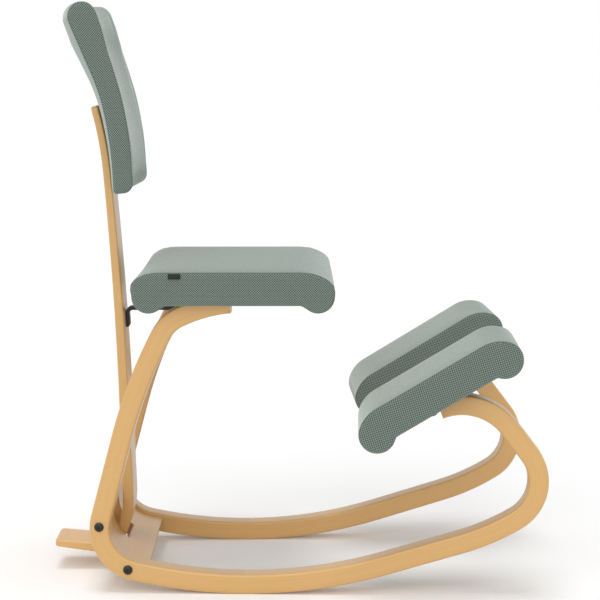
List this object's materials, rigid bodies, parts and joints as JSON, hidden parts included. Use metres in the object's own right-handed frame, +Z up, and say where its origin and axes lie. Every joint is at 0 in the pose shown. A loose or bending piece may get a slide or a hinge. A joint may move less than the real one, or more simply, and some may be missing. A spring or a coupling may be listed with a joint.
{
  "type": "kneeling chair",
  "caption": "Rocking kneeling chair with bent laminated beech runners, a level padded seat, two sloping knee pads and a padded backrest on a flat wooden post.",
  "frame": {"origin": "middle of the floor rectangle that the chair covers, on the floor", "axes": "+X forward from the seat to the knee pads, +Y to the sitter's left, +Z up"},
  "size_m": [0.7933, 0.5116, 0.9263],
  "materials": {
    "beech": "clear satin lacquer",
    "plywood": "unfinished",
    "wool_cloth": "two-tone woven wool",
    "under_cloth": "thin black felt",
    "foam": "moulded foam",
    "black_steel": "black powder coat",
    "zinc_steel": "zinc plated",
    "label_cloth": "black ribbon"
  },
  "bodies": {
    "root": {"runner_right": "beech", "runner_left": "beech", "rear_cross_board": "beech", "back_post": "beech", "seat_base": "plywood", "knee_right_base": "plywood", "knee_left_base": "plywood", "back_shell": "plywood", "seat_cover": "wool_cloth", "knee_right_cover": "wool_cloth", "knee_left_cover": "wool_cloth", "back_cover": "wool_cloth", "seat_under_cover": "under_cloth", "knee_right_under_cover": "under_cloth", "knee_left_under_cover": "under_cloth", "seat_foam": "foam", "knee_right_foam": "foam", "knee_left_foam": "foam", "back_foam": "foam", "seat_bracket": "black_steel", "frame_bolts": "black_steel", "seat_bolts": "black_steel", "knee_bolts": "black_steel", "back_bolts": "black_steel", "post_bolt": "black_steel", "bracket_screws": "black_steel", "frame_barrel_nuts": "zinc_steel", "seat_tee_nuts": "zinc_steel", "knee_tee_nuts": "zinc_steel", "back_tee_nuts": "zinc_steel", "seat_tab": "label_cloth"}
  },
  "joints": []
}
